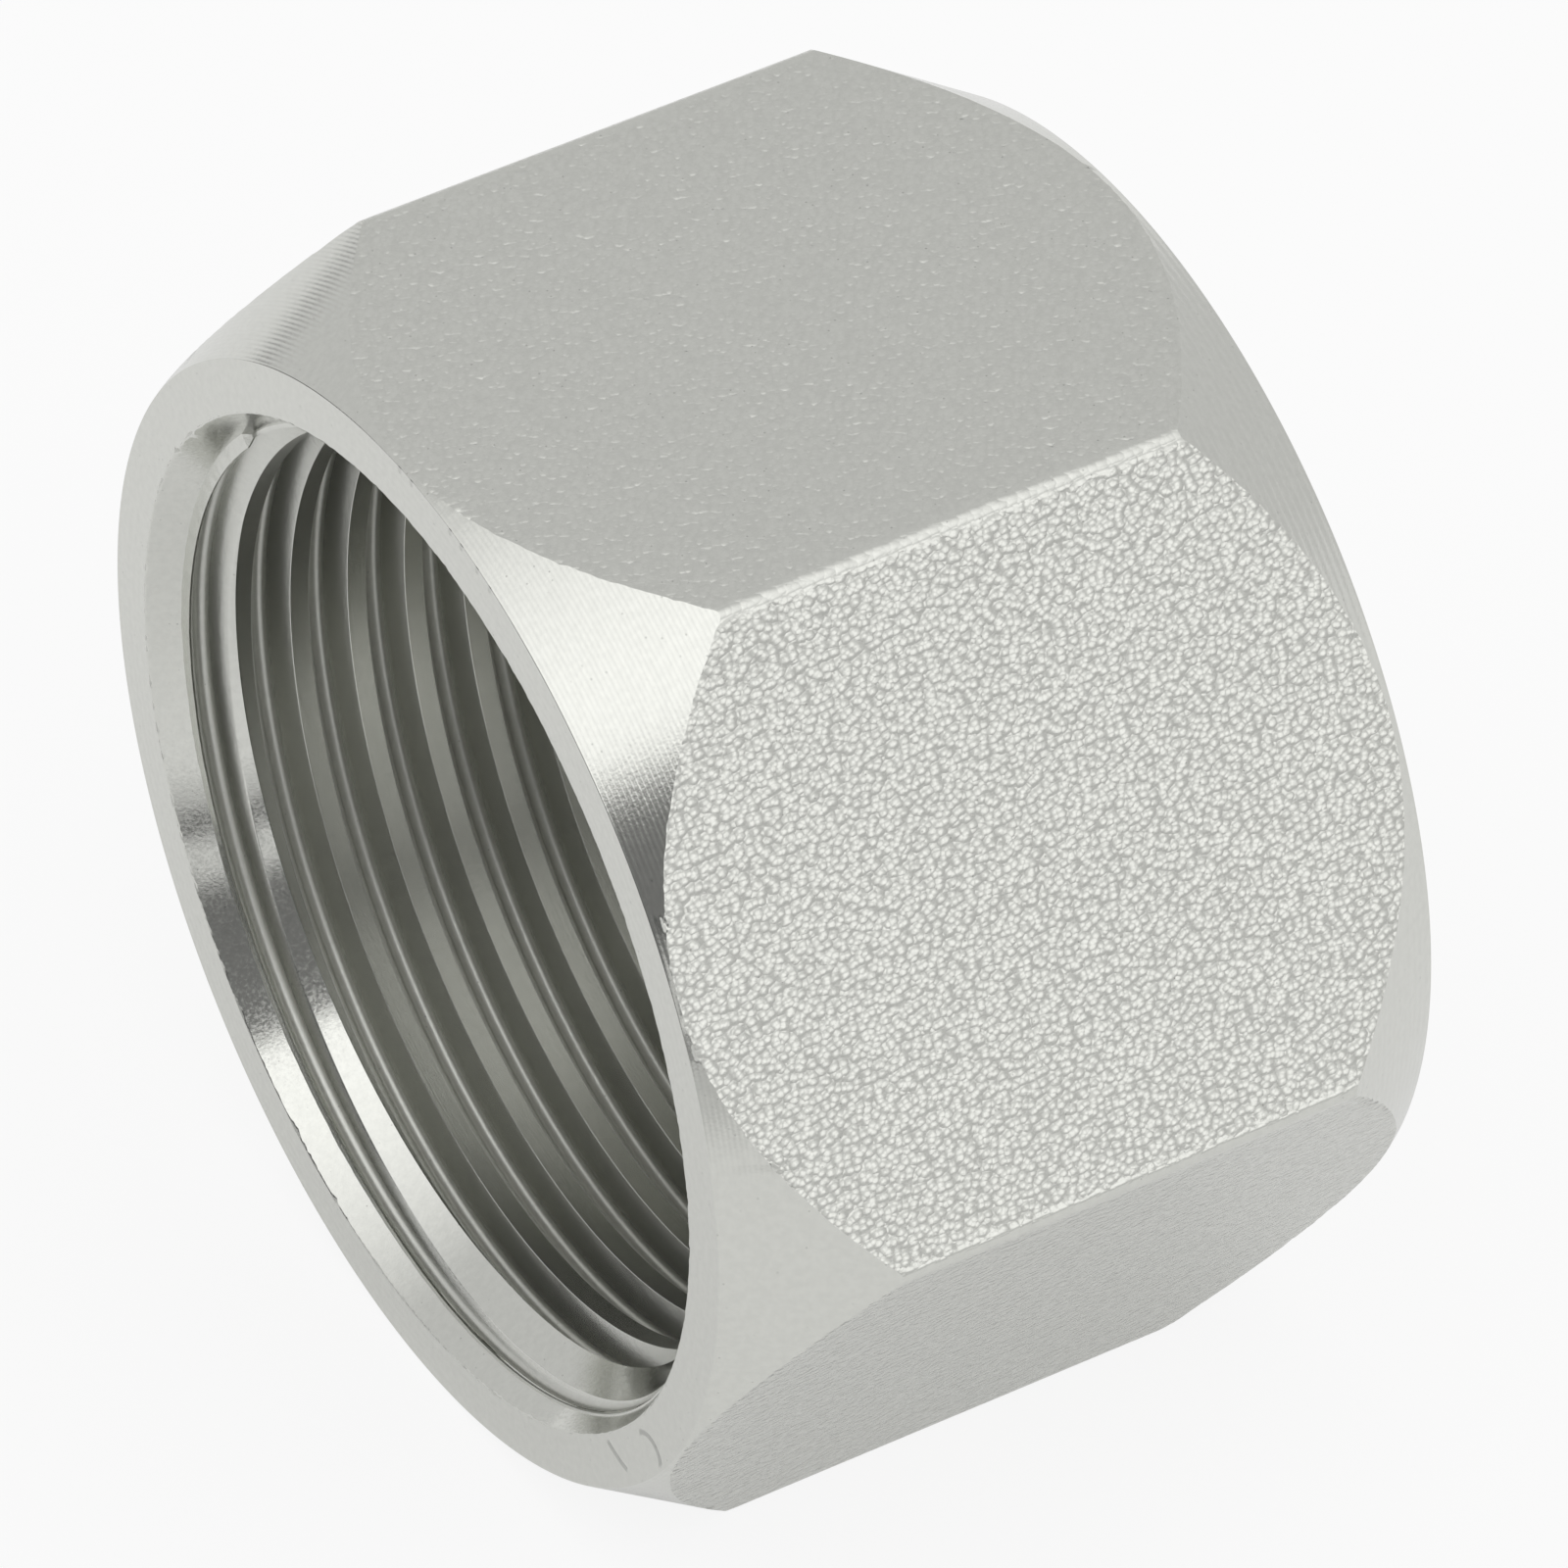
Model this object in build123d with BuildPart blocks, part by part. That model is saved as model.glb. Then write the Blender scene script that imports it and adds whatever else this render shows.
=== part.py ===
from build123d import *
import os
from math import cos, radians, tan

# Threaded protection cap: a hexagon nut turned from one piece of steel, open at the mouth and
# closed at the other end, with a right-hand inch thread inside.
# It lies on one flat with its axis level. +X runs from the mouth to the closed end, +Z is up,
# and the origin is on the lower flat, under the middle of the cap. All sizes are in millimetres.

# Hexagon bar
across_flats = 38.0
length = 26.0
edge_round = 0.5

# Cones turned on the corners at both ends: the flat end face inside each, and the cone's angle
# to the axis
mouth_rim_diameter = 37.84
mouth_cone_angle = 31.0
closed_rim_diameter = 37.62
closed_cone_angle = 33.0

# Thread 1 5/16 inch, twelve turns to the inch, sixty degree form with a flat root
threads_per_inch = 12
thread_major_diameter = 33.34
thread_minor_diameter = 31.3
flank_angle = 30.0

# Lead-in cone at the mouth, its angle measured from the axis
mouth_diameter = 34.2
lead_in_angle = 30.0

# Blind end: the thread runs out into a narrow relief groove, and behind it a cone that seals on
# the nose of the male fitting narrows to the flat bottom
thread_depth = 13.1
relief_width = 1.9
relief_diameter = 34.0
relief_corner = 0.4
seat_diameter = 29.0
seat_angle = 37.0
closed_wall = 4.0

# Where the middle of a thread groove crosses the top of the bore, in from the mouth
groove_phase = 0.09

# The cutting tool for the groove starts this much inside the crest
tool_clearance = 0.3

# Worked-out sizes
MM_PER_INCH = 25.4
pitch = MM_PER_INCH / threads_per_inch
crest_radius = thread_minor_diameter / 2
root_radius = thread_major_diameter / 2
half_root = pitch / 16
tool_radius = crest_radius - tool_clearance
half_groove = half_root + (root_radius - tool_radius) * tan(radians(flank_angle))
lead_in_depth = (mouth_diameter - thread_minor_diameter) / 2 / tan(radians(lead_in_angle))
bore_depth = length - closed_wall
seat_start = thread_depth + relief_width
bottom_radius = seat_diameter / 2 - (bore_depth - seat_start) * tan(radians(seat_angle))
groove_end = thread_depth + relief_width / 2
groove_turns = int((groove_end - groove_phase) / pitch) + 2
bar_radius = across_flats / 2 / cos(radians(30))
mouth_rim = mouth_rim_diameter / 2
closed_rim = closed_rim_diameter / 2
mouth_cone_depth = (bar_radius - mouth_rim) / tan(radians(mouth_cone_angle))
closed_cone_depth = (bar_radius - closed_rim) / tan(radians(closed_cone_angle))

# Places: in the section plane, x runs in from the mouth and y is the distance from the axis
mouth_x = -length / 2
axis_height = across_flats / 2
mouth_centre = (mouth_x, 0, axis_height)
cap_axis = Axis(mouth_centre, (1, 0, 0))
mouth_plane = Plane(origin=mouth_centre, x_dir=(0, 1, 0), z_dir=(1, 0, 0))
section_plane = Plane(origin=mouth_centre, x_dir=(1, 0, 0), z_dir=(0, -1, 0))

os.makedirs("parts", exist_ok=True)

with BuildPart() as protection_cap:
    # Hexagon bar with two flats level and its six long edges rounded
    with BuildSketch(mouth_plane) as hexagon:
        RegularPolygon(radius=across_flats / 2, side_count=6, major_radius=False)
        fillet(hexagon.vertices(), radius=edge_round)
    extrude(amount=length)

    # Both ends are turned, so what is left lies inside this barrel
    with BuildSketch(section_plane):
        with BuildLine():
            Polyline(
                (0, 0),
                (0, mouth_rim),
                (mouth_cone_depth, bar_radius),
                (length - closed_cone_depth, bar_radius),
                (length, closed_rim),
                (length, 0),
                close=True,
            )
        make_face()
    revolve(axis=cap_axis, mode=Mode.INTERSECT)

    # Blind bore: lead-in cone, wall at the thread's crest, relief groove, seat cone and flat bottom
    with BuildSketch(section_plane) as bore:
        with BuildLine():
            Polyline(
                (0, 0),
                (0, mouth_diameter / 2),
                (lead_in_depth, crest_radius),
                (thread_depth, crest_radius),
                (thread_depth, relief_diameter / 2),
                (seat_start, relief_diameter / 2),
                (seat_start, seat_diameter / 2),
                (bore_depth, bottom_radius),
                (bore_depth, 0),
                close=True,
            )
        make_face()
        inner_corner = bore.vertices().group_by(Axis.X)[-2].sort_by(Axis.Y)[-1]
        fillet(inner_corner, radius=relief_corner)
    revolve(axis=cap_axis, mode=Mode.SUBTRACT)

    # Thread groove, cut turn by turn from in front of the mouth to the middle of the relief groove
    for turn in range(groove_turns):
        turn_start = groove_phase + (turn - 1) * pitch
        turn_height = min(pitch, groove_end - turn_start)
        with BuildSketch(section_plane):
            with BuildLine():
                Polyline(
                    (turn_start - half_root, root_radius),
                    (turn_start + half_root, root_radius),
                    (turn_start + half_groove, tool_radius),
                    (turn_start - half_groove, tool_radius),
                    close=True,
                )
            make_face()
        with BuildLine() as turn_path:
            turn_centre = (mouth_x + turn_start, 0, axis_height)
            Helix(pitch=pitch, height=turn_height, radius=root_radius, center=turn_centre, direction=(1, 0, 0))
        sweep(path=turn_path.line, is_frenet=True, mode=Mode.SUBTRACT)

protection_cap.part.label = "protection_cap"
export_step(protection_cap.part, "parts/protection_cap.step")
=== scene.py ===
from math import atan2, cos, degrees, floor, pi, radians, sin, sqrt, tan

import bmesh
import bpy
from mathutils import Matrix, Vector, noise


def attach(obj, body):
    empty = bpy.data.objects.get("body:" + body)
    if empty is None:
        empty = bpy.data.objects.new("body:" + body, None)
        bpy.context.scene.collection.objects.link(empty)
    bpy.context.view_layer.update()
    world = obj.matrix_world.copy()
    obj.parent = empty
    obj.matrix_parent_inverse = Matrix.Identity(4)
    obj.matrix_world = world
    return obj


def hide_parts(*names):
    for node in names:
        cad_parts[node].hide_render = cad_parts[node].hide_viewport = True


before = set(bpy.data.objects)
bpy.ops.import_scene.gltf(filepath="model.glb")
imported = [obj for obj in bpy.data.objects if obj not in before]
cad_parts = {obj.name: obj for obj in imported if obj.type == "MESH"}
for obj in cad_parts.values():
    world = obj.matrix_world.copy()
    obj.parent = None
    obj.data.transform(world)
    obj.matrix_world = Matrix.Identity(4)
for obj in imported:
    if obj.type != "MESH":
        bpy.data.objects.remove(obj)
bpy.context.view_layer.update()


# Hexagon bar. The cap is parted off shot-blasted steel bar, 38 mm across flats, whose six long
# edges are rounded. Its outline is a ring of columns, set closer together round the edges.
across_flats = 38.0
edge_round = 0.5
cap_length = 26.0
sides = 6
columns = 720
edge_columns = 8
rounding = 1e-9

sixth = 2 * pi / sides
flat_radius = across_flats / 2
flat_way = flat_radius - edge_round
edge_centre = flat_way / cos(sixth / 2)
flat_half_width = flat_way * tan(sixth / 2)
flat_half_angle = atan2(flat_half_width, flat_radius)


def from_flat(angle):
    """The angle round the axis, measured from the middle of the nearest flat."""
    return (angle % sixth) - sixth / 2


def bar_radius(angle):
    """How far the bar's skin is from its axis at an angle measured from an edge."""
    off = abs(from_flat(angle))
    if off <= flat_half_angle:
        return flat_radius / cos(off)
    beside = sixth / 2 - off
    return edge_centre * cos(beside) + sqrt(edge_round ** 2 - (edge_centre * sin(beside)) ** 2)


def column_angle(share):
    """Spreads the columns evenly along each flat and closely round each edge."""
    half = columns / sides / 2
    flat_steps = half - edge_columns / 2
    side = share * columns % (columns / sides) - half
    off = atan2(min(abs(side), flat_steps) / flat_steps * flat_half_width, flat_radius)
    if abs(side) > flat_steps:
        turned = (abs(side) - flat_steps) / (edge_columns / 2) * sixth / 2
        off = atan2(flat_half_width + edge_round * sin(turned), flat_way + edge_round * cos(turned))
    start = floor(share * sides + rounding) * sixth + sixth / 2
    return start + (off if side > 0 else -off)


def angle_of(point):
    """The angle round the cap's axis, from +Y towards +Z."""
    return atan2(point.z, point.y) % (2 * pi)


cap = bmesh.new()
bmesh.ops.create_circle(cap, segments=columns, radius=1)
bmesh.ops.rotate(cap, verts=cap.verts, matrix=Matrix.Rotation(pi / 2, 3, "X"))
bmesh.ops.rotate(cap, verts=cap.verts, matrix=Matrix.Rotation(pi / 2, 3, "Z"))
for v in cap.verts:
    share = angle_of(v.co) / (2 * pi)
    angle = column_angle(round(share * columns) / columns)
    v.co = (0, cos(angle), sin(angle))


# Turned ends. Both ends are faced and coned on the lathe, so the cones cross the flats in
# shallow arches, and the blasted skin breaks away a little unevenly along them.
FLATS, TURNED, THREAD = 0, 1, 2
mouth_rim = 18.92
mouth_cone = radians(31)
closed_rim = 18.81
closed_cone = radians(33)
lip = 0.014
least_cone = lip * 1.5
skin_break = 0.07
skin_waves = ((1.3, 1.0), (3.1, 0.8), (7.3, 1.0))
skin_rows = (0.3, 1.2, 3.6)
closed_face_rings = (closed_rim - lip, 14.0, 8.0, 3.0, 0.0)

mouth_lip = (lip * cos(mouth_cone), mouth_rim + lip * sin(mouth_cone))
closed_lip = (cap_length - lip * cos(closed_cone), closed_rim + lip * sin(closed_cone))


def place_ring(verts, section):
    """Puts each vertex at the depth from the mouth and the radius that the section gives for its angle."""
    for v in verts:
        angle = angle_of(v.co)
        depth, radius = section(angle)
        v.co = (depth, radius * cos(angle), radius * sin(angle))


def next_ring(rim, section, material):
    """Draws the skin on from the last ring to a new one, and gives back the new ring's edges."""
    made = bmesh.ops.extrude_edge_only(cap, edges=rim)["geom"]
    verts = {g for g in made if isinstance(g, bmesh.types.BMVert)}
    for g in made:
        if isinstance(g, bmesh.types.BMFace):
            g.material_index = material
    place_ring(verts, section)
    return [g for g in made if isinstance(g, bmesh.types.BMEdge) and verts.issuperset(g.verts)]


def break_away(angle, end):
    """How far the flats' rough skin has broken back from the cone's edge at this angle."""
    spot = Vector((cos(angle), sin(angle), end)) * across_flats / 2
    return skin_break * abs(sum(share * noise.noise(spot * scale) for scale, share in skin_waves))


def mouth_edge(angle, back=0.0):
    """Where the mouth's cone meets the bar, or a point on the flat further back."""
    depth = (bar_radius(angle) - mouth_rim) / tan(mouth_cone)
    return depth + back, bar_radius(angle)


def mouth_broken_edge(angle):
    """Where the skin has broken away on the mouth's cone."""
    depth = max(mouth_edge(angle)[0] - break_away(angle, 0), least_cone)
    return depth, mouth_rim + depth * tan(mouth_cone)


def closed_edge(angle, back=0.0):
    """Where the closed end's cone meets the bar, or a point on the flat in front of it."""
    depth = cap_length - (bar_radius(angle) - closed_rim) / tan(closed_cone)
    return depth - back, bar_radius(angle)


def closed_broken_edge(angle):
    """Where the skin has broken away on the closed end's cone."""
    depth = min(closed_edge(angle)[0] + break_away(angle, 1), cap_length - least_cone)
    return depth, closed_rim + (cap_length - depth) * tan(closed_cone)


place_ring(cap.verts, lambda angle: (0, mouth_rim - lip))
face_ring = list(cap.edges)
ring = next_ring(face_ring, lambda angle: mouth_lip, TURNED)
ring = next_ring(ring, mouth_broken_edge, TURNED)
for back in skin_rows:
    ring = next_ring(ring, lambda angle: mouth_edge(angle, back), FLATS)
for back in reversed(skin_rows):
    ring = next_ring(ring, lambda angle: closed_edge(angle, back), FLATS)
ring = next_ring(ring, closed_broken_edge, FLATS)
ring = next_ring(ring, lambda angle: closed_lip, TURNED)
for radius in closed_face_rings:
    ring = next_ring(ring, lambda angle: (cap_length, radius), TURNED)


# Thread. A right-hand thread, 1 5/16 inch by twelve turns to the inch, is cut with a single point.
# Its groove fades out on the lead-in cone, where the tool has rolled up and torn a burr, and ends
# in a narrow relief groove.
pitch = 25.4 / 12
crest = 15.65
root = 16.67
flank = radians(30)
root_round = 0.25
root_steps = (0, 20, 40, 60)
crest_lip = 0.009
groove_phase = 0.09
mouth_radius = 17.1
lead_in = radians(30)
lead_in_ring = 0.4
lead_in_start = 0.9 * lead_in_ring
relief_start = 13.1
thread_columns = 720
half_sheet = 0.5
turns_before, turns_after = 2, 1
burr_height = 0.3
burr_lean = 0.34
burr_lip = 0.07
burr_span = (0.75, 1.68, 1.92)
burr_stub = 0.08
stub_width = pitch / 4
burr_waves = ((1.1, 0.08), (3.3, 0.04))
touching, near = 1e-4, 1e-3

flank_foot = pitch / 16
crest_edge = flank_foot + (root - crest) * tan(flank)
root_side = root_round * cos(flank)
root_centre = root + flank_foot / tan(flank) - root_round / sin(flank)
lead_in_depth = (mouth_radius - crest) / tan(lead_in)
one_pitch = [root_round * sin(radians(turned)) for turned in root_steps]
one_pitch += [crest_edge - crest_lip, crest_edge + crest_lip]
one_pitch += [pitch / 2] + [pitch - off for off in reversed(one_pitch[1:])]
burr_rows = [one_pitch.index(pitch / 2) + step for step in range(3)]
rows = (int(relief_start / pitch) + turns_before + turns_after) * len(one_pitch)


def groove_radius(off):
    """The thread's radius at a distance along the axis from the middle of the nearest groove."""
    if off < root_side:
        return root_centre + sqrt(root_round ** 2 - off ** 2)
    return max(root - (off - flank_foot) / tan(flank), crest)


def cone_radius(depth):
    """The lead-in cone's radius at a depth from the mouth."""
    return mouth_radius - depth * tan(lead_in)


def burr_at(groove, turn):
    """How high the thread tool has rolled up the ridge in front of the first groove."""
    start, full, torn = burr_span
    if not start < groove < torn + stub_width:
        return 0
    ragged = Vector((cos(2 * pi * turn), sin(2 * pi * turn), 0)) * root
    rolled = min((groove - start) / (full - start), 1) * burr_height if groove < torn else burr_stub
    return rolled * sum((share * noise.noise(ragged * scale) for scale, share in burr_waves), 1)


def thread_point(row, turn):
    """Depth and radius of a row of the thread, part of a turn round from the top, where the
    lead-in cone and the ends of the bore have cut it."""
    turns_in, off = divmod(row, len(one_pitch))
    groove = groove_phase + (turns_in - turns_before + turn) * pitch
    foot = root + flank_foot / tan(flank) - cone_radius(groove)
    near_edge = min(crest_edge, max(foot / (1 / tan(flank) - tan(lead_in)), root_side))
    foot += pitch * tan(lead_in)
    far_edge = pitch - min(crest_edge, max(foot / (1 / tan(flank) + tan(lead_in)), root_side))
    along = one_pitch[off]
    burr = burr_at(groove + pitch, turn)
    rolled_back = far_edge - burr_lean * burr / burr_height
    if burr and off == burr_rows[0]:
        along = rolled_back
    elif burr and off in burr_rows:
        depth = groove + rolled_back + (burr_lip if off == burr_rows[2] else 0)
        return depth, cone_radius(groove + far_edge) - burr
    elif along == pitch / 2:
        along = min(max(lead_in_depth - groove, near_edge + crest_lip), far_edge - crest_lip)
    elif crest_edge - crest_lip <= along < pitch / 2:
        along = max(along + near_edge - crest_edge, root_side)
    elif pitch / 2 < along <= pitch - crest_edge + crest_lip:
        along = min(along + far_edge - (pitch - crest_edge), pitch - root_side)
    depth = min(max(groove + along, lead_in_ring), relief_start)
    along = depth - groove
    return depth, max(groove_radius(abs(min(along, pitch - along))), cone_radius(depth))


sheet = bmesh.ops.create_grid(cap, x_segments=thread_columns, y_segments=rows, size=half_sheet)["verts"]
for v in sheet:
    column, row = round((v.co.x + half_sheet) * thread_columns), round((v.co.y + half_sheet) * rows)
    depth, radius = thread_point(row, column / thread_columns)
    angle = pi / 2 + 2 * pi * (column % thread_columns) / thread_columns
    v.co = (depth, radius * cos(angle), radius * sin(angle))
for f in {f for v in sheet for f in v.link_faces}:
    f.material_index = THREAD
bmesh.ops.remove_doubles(cap, verts=sheet, dist=touching)


def rim_at(depth):
    """The open edges of the thread that lie at a depth from the mouth."""
    rims = [e for e in cap.edges if e.is_boundary]
    return [e for e in rims if all(abs(v.co.x - depth) < near for v in e.verts)]


lead_in_rim, relief_rim = rim_at(lead_in_ring), rim_at(relief_start)


# Mouth. The ring round it is faced flat, and the sharp edge that it makes with the lead-in cone
# is worn back unevenly, with a few chips.
mouth_face_rings = (18.5, 18.0, 17.5)
mouth_wear = 0.07
mouth_waves = (1.3, 3.7)
mouth_chips = ((31.7, 0.16, 0.35), (37, 0.05, 1.6), (24, 0.06, 1.0),
               (8, 0.05, 0.8), (-62, 0.05, 1.2), (-71, 0.06, 0.7))


def worn_back(angle):
    """How far the bore's sharp edge at the mouth is worn or chipped back at an angle."""
    spot = Vector((cos(angle), sin(angle), 0)) * mouth_radius
    worn = 0
    for at, deep, wide in mouth_chips:
        off = abs((degrees(angle) - at + 180) % 360 - 180)
        worn += deep * max(0, 1 - off / wide)
    return worn + mouth_wear * abs(sum(noise.noise(spot * scale) for scale in mouth_waves))


def on_lead_in(depth):
    """A point of the lead-in cone at a depth from the mouth."""
    return depth, cone_radius(depth)


ring = face_ring
for radius in mouth_face_rings:
    ring = next_ring(ring, lambda angle: (0, radius), TURNED)
ring = next_ring(ring, lambda angle: (0, mouth_radius + lip + worn_back(angle)), TURNED)
ring = next_ring(ring, lambda angle: on_lead_in(lip * cos(lead_in) + worn_back(angle)), THREAD)
ring = next_ring(ring, lambda angle: on_lead_in(lead_in_start), THREAD)
bridge = bmesh.ops.bridge_loops(cap, edges=ring + lead_in_rim)
for f in bridge["faces"]:
    f.material_index = THREAD


# Blind end. Behind the relief groove a 37 degree cone, the seat for a fitting's nose, narrows to
# the flat bottom. Here the cap's skin closes.
relief_radius = 17.0
relief_corner = 0.4
corner_steps = 6
seat_start = 15.0
seat_radius = 14.5
seat = radians(37)
bore_depth = 22.0
bottom_ring = 4.0

ring = next_ring(relief_rim, lambda angle: (relief_start, relief_radius), THREAD)
for step in range(corner_steps + 1):
    bend = step / corner_steps * pi / 2
    depth = seat_start - relief_corner * (1 - sin(bend))
    radius = relief_radius - relief_corner * (1 - cos(bend))
    ring = next_ring(ring, lambda angle: (depth, radius), THREAD)
seat_tip = seat_radius - (bore_depth - seat_start) * tan(seat)
for depth, radius in ((seat_start, seat_radius + lip), (seat_start + lip, seat_radius - lip * tan(seat)),
                      (bore_depth, seat_tip), (bore_depth, bottom_ring), (bore_depth, 0.0)):
    ring = next_ring(ring, lambda angle: (depth, radius), THREAD)
bmesh.ops.remove_doubles(cap, verts=cap.verts, dist=touching)
bmesh.ops.recalc_face_normals(cap, faces=cap.faces)
for f in cap.faces:
    f.smooth = True


# Finished skin. It goes to its place, axis level and lying on one flat. Its normals are evened out
# while it is in millimetres, because the modifier does nothing on faces a thousand times smaller.
sharp_edge = radians(28)
mm_per_metre = 1000

bmesh.ops.translate(cap, verts=cap.verts, vec=(-cap_length / 2, 0, flat_radius))
cap_mesh = bpy.data.meshes.new("threaded_cap")
cap.to_mesh(cap_mesh)
cap_mesh.set_sharp_from_angle(angle=sharp_edge)
threaded_cap = bpy.data.objects.new("threaded_cap", cap_mesh)
bpy.context.scene.collection.objects.link(threaded_cap)
evened = threaded_cap.modifiers.new("even_normals", "WEIGHTED_NORMAL")
evened.keep_sharp = True
bpy.context.view_layer.update()
finished = threaded_cap.evaluated_get(bpy.context.evaluated_depsgraph_get())
threaded_cap.data = bpy.data.meshes.new_from_object(finished)
threaded_cap.modifiers.clear()
threaded_cap.data.transform(Matrix.Scale(1 / mm_per_metre, 4))

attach(threaded_cap, "root")
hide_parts("protection_cap")


# Plating. The whole cap is zinc plated, a pale metal with a faint green cast, with dark pin pricks
# and a faint mottle in it. Each way of making its surfaces shows through it.
zinc = (0.715, 0.72, 0.68, 1)
# The darker zinc colour serves the pin pricks and the mottle, and also paints shade into the blasted
# grains' valleys.
dark_zinc_and_shade = (0.322, 0.324, 0.306, 1)
prick_scale, prick_edge, prick_dulling = 2.1, (0.085, 0.04), 0.5
mottle_scale, mottle_edge, mottle_dulling = 3.5, (0.3, 0.7), 0.09


class Wire:
    """A node's output, with Python's operators standing for Math nodes."""

    def __init__(self, tree, socket=None):
        self.tree, self.socket = tree, socket

    def node(self, kind, sockets=(), out=0, **settings):
        """A new node: its settings first, then the value or wire of each socket."""
        made = self.tree.nodes.new(kind)
        for name, value in settings.items():
            setattr(made, name, value)
        for name, value in dict(sockets).items():
            if isinstance(value, Wire):
                self.tree.links.new(value.socket, made.inputs[name])
            else:
                made.inputs[name].default_value = value
        return Wire(self.tree, made.outputs[out] if made.outputs else None)

    def math(self, operation, *values):
        return self.node("ShaderNodeMath", enumerate(values), operation=operation)

    def __add__(self, other):
        return self.math("ADD", self, other)

    def __sub__(self, other):
        return self.math("SUBTRACT", self, other)

    def __rsub__(self, other):
        return self.math("SUBTRACT", other, self)

    def __mul__(self, other):
        return self.math("MULTIPLY", self, other)

    def __pow__(self, other):
        return self.math("POWER", self, other)

    __radd__, __rmul__ = __add__, __mul__

    def between(self, low, high):
        """Runs smoothly from 0 to 1 as the value runs from low to high."""
        return self.node("ShaderNodeMapRange", {"Value": self, "From Min": low, "From Max": high},
                         interpolation_type="SMOOTHSTEP")

    def noise(self, vector, scale, detail=2.0, roughness=0.5):
        return self.node("ShaderNodeTexNoise", {"Vector": vector, "Scale": scale, "Detail": detail,
                                                "Roughness": roughness})

    def distance(self, vector, place):
        return self.node("ShaderNodeVectorMath", {0: vector, 1: place}, out="Value", operation="DISTANCE")


def plating(name, roughness):
    """A new plated metal: its nodes, its shader, and millimetres from the mouth and the axis."""
    material = bpy.data.materials.new(name)
    material.use_nodes = True
    tree = material.node_tree
    shader = tree.nodes["Principled BSDF"]
    shader.inputs["Metallic"].default_value = 1.0
    shader.inputs["Roughness"].default_value = roughness
    wires = Wire(tree)
    place = wires.node("ShaderNodeTexCoord", out="Object")
    spot = wires.node("ShaderNodeMapping", {"Vector": place, "Location": (cap_length / 2, 0, -flat_radius),
                                            "Scale": (mm_per_metre, mm_per_metre, mm_per_metre)})
    threaded_cap.data.materials.append(material)
    return wires, shader, spot


def parts_of(wires, spot):
    """Depth from the mouth, distance from the axis and angle of a spot."""
    depth, y, z = (wires.node("ShaderNodeSeparateXYZ", {"Vector": spot}, out=axis) for axis in "XYZ")
    radius = (y * y + z * z) ** 0.5
    return depth, radius, wires.math("ARCTAN2", z, y)


def emboss(wires, shader, height, strength, relief):
    """Stands the height up on the shader's surface, to a relief in metres."""
    bump = wires.node("ShaderNodeBump", {"Height": height, "Strength": strength, "Distance": relief})
    wires.tree.links.new(bump.socket, shader.inputs["Normal"])


def tint(wires, shader, spot, shade_and_marks=0.0):
    """Colours the zinc: dark pin pricks, a faint mottle, and a given darkening, which is painted shade in
    the blasted grains' valleys and a darker tone at the turned face's nicks and scratches.
    """
    cell = wires.node("ShaderNodeTexVoronoi", {"Vector": spot, "Scale": prick_scale}, out="Distance")
    mottle = wires.noise(spot, mottle_scale, detail=4.0, roughness=0.6).between(*mottle_edge)
    shade = cell.between(*prick_edge) * prick_dulling + mottle * mottle_dulling + shade_and_marks
    tinted = wires.node("ShaderNodeMix", {0: shade, 6: zinc, 7: dark_zinc_and_shade}, out=2, data_type="RGBA")
    wires.tree.links.new(tinted.socket, shader.inputs["Base Color"])


# Blasted flats. Shot has left round grains a quarter of a millimetre wide on the bar's skin, drawn
# out a little along it, and handling has rubbed them smooth along the six long edges.
grain_scale, grain_depth = 4.2, 1.3
grain_draw = (0.85, 1, 1)
swell_scale, swell_depth = 2.6, 0.7
fine_scale, fine_depth = 7.0, 0.15
rubbed_from = (21.84, 21.96)
waver_scale, waver_width, rubbed_share = 4.0, 0.3, 0.6
shaded_valley, valley_painted_shade = (0.25, 0.6), 0.07
blast_relief = 0.000034

wires, shader, spot = plating("blasted_zinc", roughness=0.2)
radius = parts_of(wires, spot)[1]
drawn = wires.node("ShaderNodeMapping", {"Vector": spot, "Scale": grain_draw})
grain = wires.node("ShaderNodeTexVoronoi", {"Vector": drawn, "Scale": grain_scale}, out="Distance")
rubbed = (radius + wires.noise(spot, waver_scale, detail=3.0) * waver_width).between(*rubbed_from)
height = wires.noise(spot, swell_scale) * swell_depth - grain * grain * grain_depth
height = (height + wires.noise(drawn, fine_scale) * fine_depth) * (1 - rubbed * rubbed_share)
emboss(wires, shader, height, strength=1.0, relief=blast_relief)
# Painted shade: the base colour is darkened in the grains' valleys, fading out along the rubbed edges.
tint(wires, shader, spot, grain.between(*shaded_valley) * (1 - rubbed) * valley_painted_shade)


# Finish of the turned ends. The lathe has left fine feed marks, and the mouth's face has a few
# nicks at its top and two scratches at its foot. A scratch is an arc: its centre and radius, and
# then the middle and the reach of the stretch that shows.
feed_step, feed_depth = 0.17, 0.33
streak_along, streak_round, streak_depth = 9, 0.5, 0.4
fleck_scale, fleck_depth = 9.0, 0.8
nick_radius = 18.8
nick_angles = (89.9, 92.1, 99.3, 101.4, 104.4, 106.8)
nick_edge, nick_share = (0.16, 0.06), 0.5
scratches = (((0, -13.21, -9.82), 3.06, (0, -12.53, -12.78), 0.7),
             ((0, -14.5, -11.02), 0.72, (0, -14.7, -10.45), 0.85))
scratch_edge, scratch_fade = (0.15, 0.05), 0.8
mark_depth, mark_darkening = 4.0, 0.55
turned_relief = 0.000008

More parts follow.
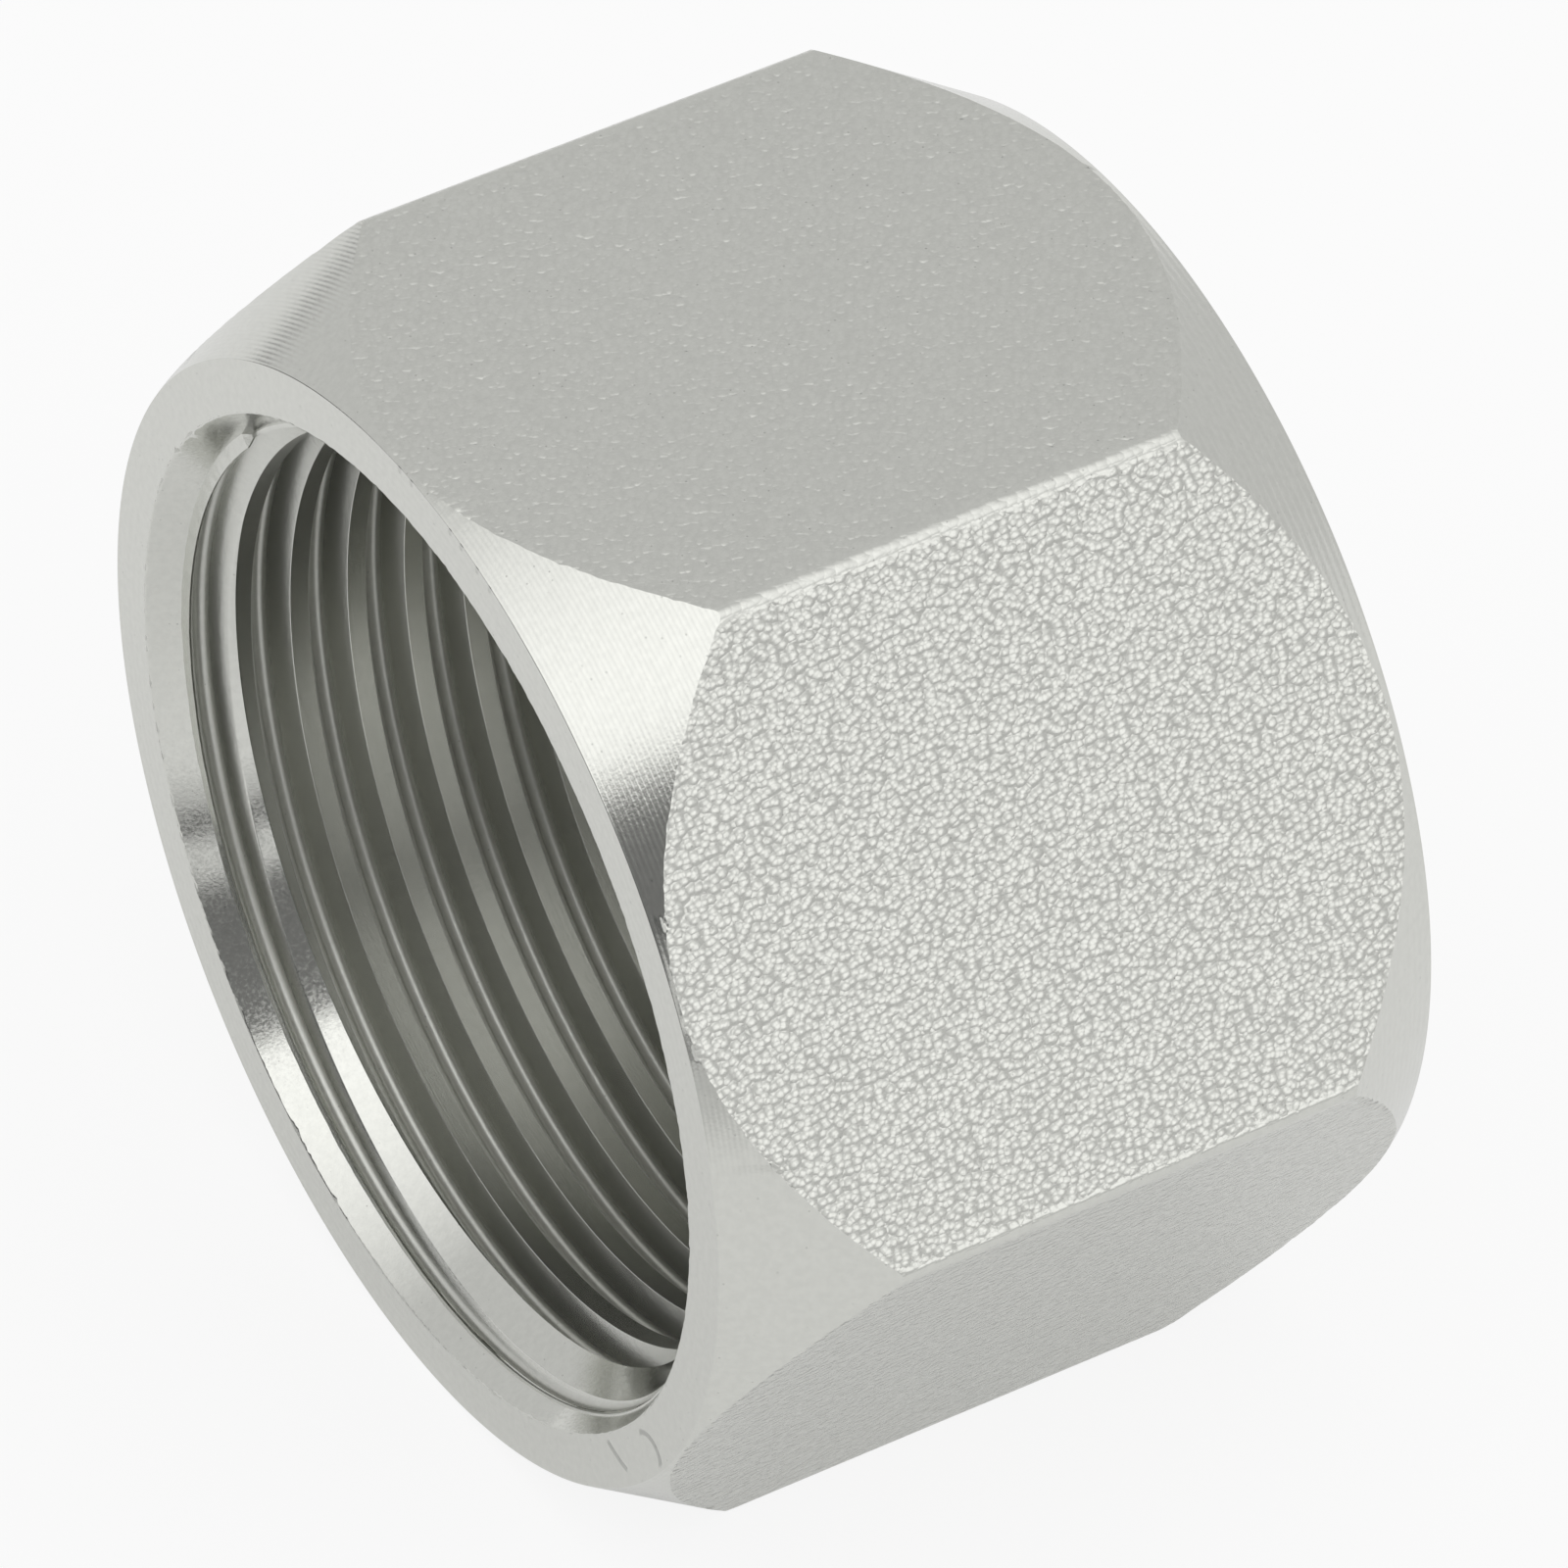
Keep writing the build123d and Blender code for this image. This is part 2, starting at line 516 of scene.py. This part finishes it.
wires, shader, spot = plating("turned_zinc", roughness=0.16)
depth, radius, angle = parts_of(wires, spot)
along = depth * cos(mouth_cone) + radius * sin(mouth_cone)
lines = wires.node("ShaderNodeCombineXYZ", {"X": along * streak_along, "Y": angle * streak_round})
marks = 0.0
for at in nick_angles:
    nick = (0, nick_radius * cos(radians(at)), nick_radius * sin(radians(at)))
    marks = marks + wires.distance(spot, nick).between(*nick_edge) * nick_share
for centre, bend, middle, reach in scratches:
    beside = wires.math("ABSOLUTE", wires.distance(spot, centre) - bend).between(*scratch_edge)
    marks = marks + beside * wires.distance(spot, middle).between(reach, reach * scratch_fade)
feed = wires.math("SINE", along * (2 * pi / feed_step))
streak = wires.noise(lines, 1.0, detail=3.0)
fleck = wires.noise(spot, fleck_scale, detail=3.0, roughness=0.6)
height = feed * feed_depth + streak * streak_depth + fleck * fleck_depth - marks * mark_depth
emboss(wires, shader, height, strength=0.6, relief=turned_relief)
# The nicks and scratches are also coloured darker.
tint(wires, shader, spot, marks * mark_darkening)


# Cut thread. The single point has left its flanks duller than the lead-in cone and its roots
# duller still, and the cone is smooth with faint flecks.
cone_edge = (0.02, 0.05)
cone_rough, cut_rougher, root_rougher = 0.1, 0.14, 0.22
root_edge = (16.4, 16.6)
cone_fleck_scale, fleck_edge, fleck_rougher = 9.0, (0.35, 0.75), 0.13
streak_along, streak_round, streak_depth = 12, 0.7, 0.6
fleck_scale = 8.0
thread_relief = 0.000006

wires, shader, spot = plating("thread_zinc", roughness=0.24)
depth, radius, angle = parts_of(wires, spot)
cut = wires.math("ABSOLUTE", radius + depth * tan(lead_in) - mouth_radius).between(*cone_edge)
flecked = wires.noise(spot, cone_fleck_scale).between(*fleck_edge) * fleck_rougher
rough = cone_rough + cut * (cut_rougher + radius.between(*root_edge) * root_rougher) + (1 - cut) * flecked
wires.tree.links.new(rough.socket, shader.inputs["Roughness"])
along = depth + radius
lines = wires.node("ShaderNodeCombineXYZ", {"X": along * streak_along, "Y": angle * streak_round})
streak = wires.noise(lines, 1.0, detail=3.0)
fleck = wires.noise(spot, fleck_scale, detail=3.0, roughness=0.6)
emboss(wires, shader, streak * streak_depth + fleck, strength=0.5, relief=thread_relief)
tint(wires, shader, spot)


# Table. A wide pale floor, which shows white to the camera and a soft grey in the cap. Beyond set lines
# to its left and front the cap shows a painted dark reflection of it instead, as if the table ended there.
floor_half, floor_drop = 3, 0.00002
floor_paint = (0.82, 0.82, 0.82, 1)
seen_glow, mirrored_glow = 0.87, 0.4
left_edge, left_slant = (0.055, 0.075), 1.2
front_edge, front_share = (0.07, 0.14), 0.3
painted_dark_reflection_grey = (0.1, 0.1, 0.1, 1)

floor_shape = bmesh.new()
bmesh.ops.create_grid(floor_shape, x_segments=1, y_segments=1, size=floor_half)
bmesh.ops.translate(floor_shape, verts=floor_shape.verts, vec=(0, 0, -floor_drop))
floor_mesh = bpy.data.meshes.new("floor")
floor_shape.to_mesh(floor_mesh)
floor_piece = bpy.data.objects.new("floor", floor_mesh)
bpy.context.scene.collection.objects.link(floor_piece)

material = bpy.data.materials.new("pale_floor")
material.use_nodes = True
material.node_tree.nodes.clear()
floor_mesh.materials.append(material)
wires = Wire(material.node_tree)
seen, mirrored, passed = (wires.node("ShaderNodeLightPath", out=f"Is {ray} Ray")
                          for ray in ("Camera", "Glossy", "Transmission"))
shown = wires.math("MAXIMUM", seen * seen_glow, wires.math("MAXIMUM", mirrored, passed) * mirrored_glow)
painted = wires.node("ShaderNodeBsdfDiffuse", {"Color": floor_paint})
glow = wires.node("ShaderNodeEmission", {"Color": (1, 1, 1, 1), "Strength": 1.0})
table = wires.node("ShaderNodeMixShader", {0: shown, 1: painted, 2: glow})
place = wires.node("ShaderNodeTexCoord", out="Object")
x, y = (wires.node("ShaderNodeSeparateXYZ", {"Vector": place}, out=axis) for axis in "XY")
# Painted dark reflection: beyond these lines the cap sees the floor as a dark grey emission.
left = (0 - x - wires.math("MAXIMUM", 0 - y, 0.0) * left_slant).between(*left_edge)
front = (0 - y).between(*front_edge) * front_share
painted_dark_reflection_mask = wires.math("MAXIMUM", left, front) * mirrored
painted_dark_reflection = wires.node("ShaderNodeEmission", {"Color": painted_dark_reflection_grey, "Strength": 1.0})
whole = wires.node("ShaderNodeMixShader", {0: painted_dark_reflection_mask, 1: table, 2: painted_dark_reflection})
wires.node("ShaderNodeOutputMaterial", {"Surface": whole})


# Studio. Grey walls, one wide soft source above, a light panel in front, and a dark room with a
# skirting and a stand on the side that the mouth looks to. Each is a patch of the world round the
# cap, given by its angles from -X round towards -Y and up from level.
walls, source = 0.67, 0.68
source_way = (-0.3, -0.5, 0.812)
source_nearing, source_middle = 0.38, 0.92
front_sides, front_top = (radians(75), radians(150)), radians(32)
panel_sides, panel_heights = (radians(101), radians(124)), (radians(2), radians(24))
room_sides, room_heights = (radians(-25), radians(72)), (radians(14), radians(34.5))
stand_sides, stand_top = (radians(31), radians(58)), radians(42)
skirting_heights = (radians(0.5), radians(5.7))
dark_room, dark_stand = 0.93, 0.85
strip_share = 0.8
front_soft, panel_side_soft, panel_height_soft = radians(8), radians(10), radians(6)
room_side_soft, room_height_soft, skirting_soft = radians(2), radians(1.5), radians(0.5)

world = bpy.data.worlds.new("soft_studio")
world.use_nodes = True
wires = Wire(world.node_tree)
way = wires.node("ShaderNodeTexCoord", out="Generated")
x, y, z = (wires.node("ShaderNodeSeparateXYZ", {"Vector": way}, out=axis) for axis in "XYZ")
height = wires.math("ARCSINE", z)
aside = wires.math("ARCTAN2", 0 - y, 0 - x)


def within(value, low, high, soft):
    """1 between the two borders, with soft edges."""
    return value.between(low - soft, low + soft) * (1 - value.between(high - soft, high + soft))


room_width = within(aside, *room_sides, room_side_soft)
room = room_width * within(height, *room_heights, room_height_soft)
stand_width = within(aside, *stand_sides, room_side_soft)
stand = stand_width * within(height, room_heights[0], stand_top, room_height_soft)
skirting = room_width * within(height, *skirting_heights, skirting_soft)
dark = wires.math("MAXIMUM", wires.math("MAXIMUM", room, stand), skirting)
dark = dark * (dark_room - stand_width * (dark_room - dark_stand))
panel = within(aside, *panel_sides, panel_side_soft) * within(height, *panel_heights, panel_height_soft)
front = within(aside, *front_sides, front_soft)
front = front * (1 - height.between(front_top - front_soft, front_top + front_soft))
strip = room_width * within(height, skirting_heights[1], room_heights[0], room_height_soft) * strip_share
lit = wires.node("ShaderNodeVectorMath", {0: way, 1: source_way}, out="Value", operation="DOT_PRODUCT")
lit = wires.node("ShaderNodeMapRange", {"Value": lit, "From Min": source_nearing,
                                        "From Max": source_middle})
light = walls + wires.math("MAXIMUM", panel, lit * (1 - front) * (1 - strip)) * source
wires.tree.links.new((light * (1 - dark)).socket, world.node_tree.nodes["Background"].inputs["Color"])
bpy.context.scene.world = world
bpy.context.scene.view_settings.view_transform = "Standard"


# Camera. A long lens, a little over half a metre away on the mouth's side, looks down at the
# middle of the cap from above and to the left of the front flat.
camera_place = Vector((-0.19750, -0.33272, 0.36200))
camera_aim = Vector((0.00049, -0.00028, 0.01901))
camera_lens = 374.03
camera_roll = radians(-0.21)

lens = bpy.data.cameras.new("camera")
lens.lens = camera_lens
camera = bpy.data.objects.new("camera", lens)
camera.location = camera_place
facing = (camera_aim - camera_place).to_track_quat("-Z", "Y").to_matrix()
camera.rotation_mode = "QUATERNION"
camera.rotation_quaternion = (facing @ Matrix.Rotation(camera_roll, 3, "Z")).to_quaternion()
bpy.context.scene.collection.objects.link(camera)
bpy.context.scene.camera = camera
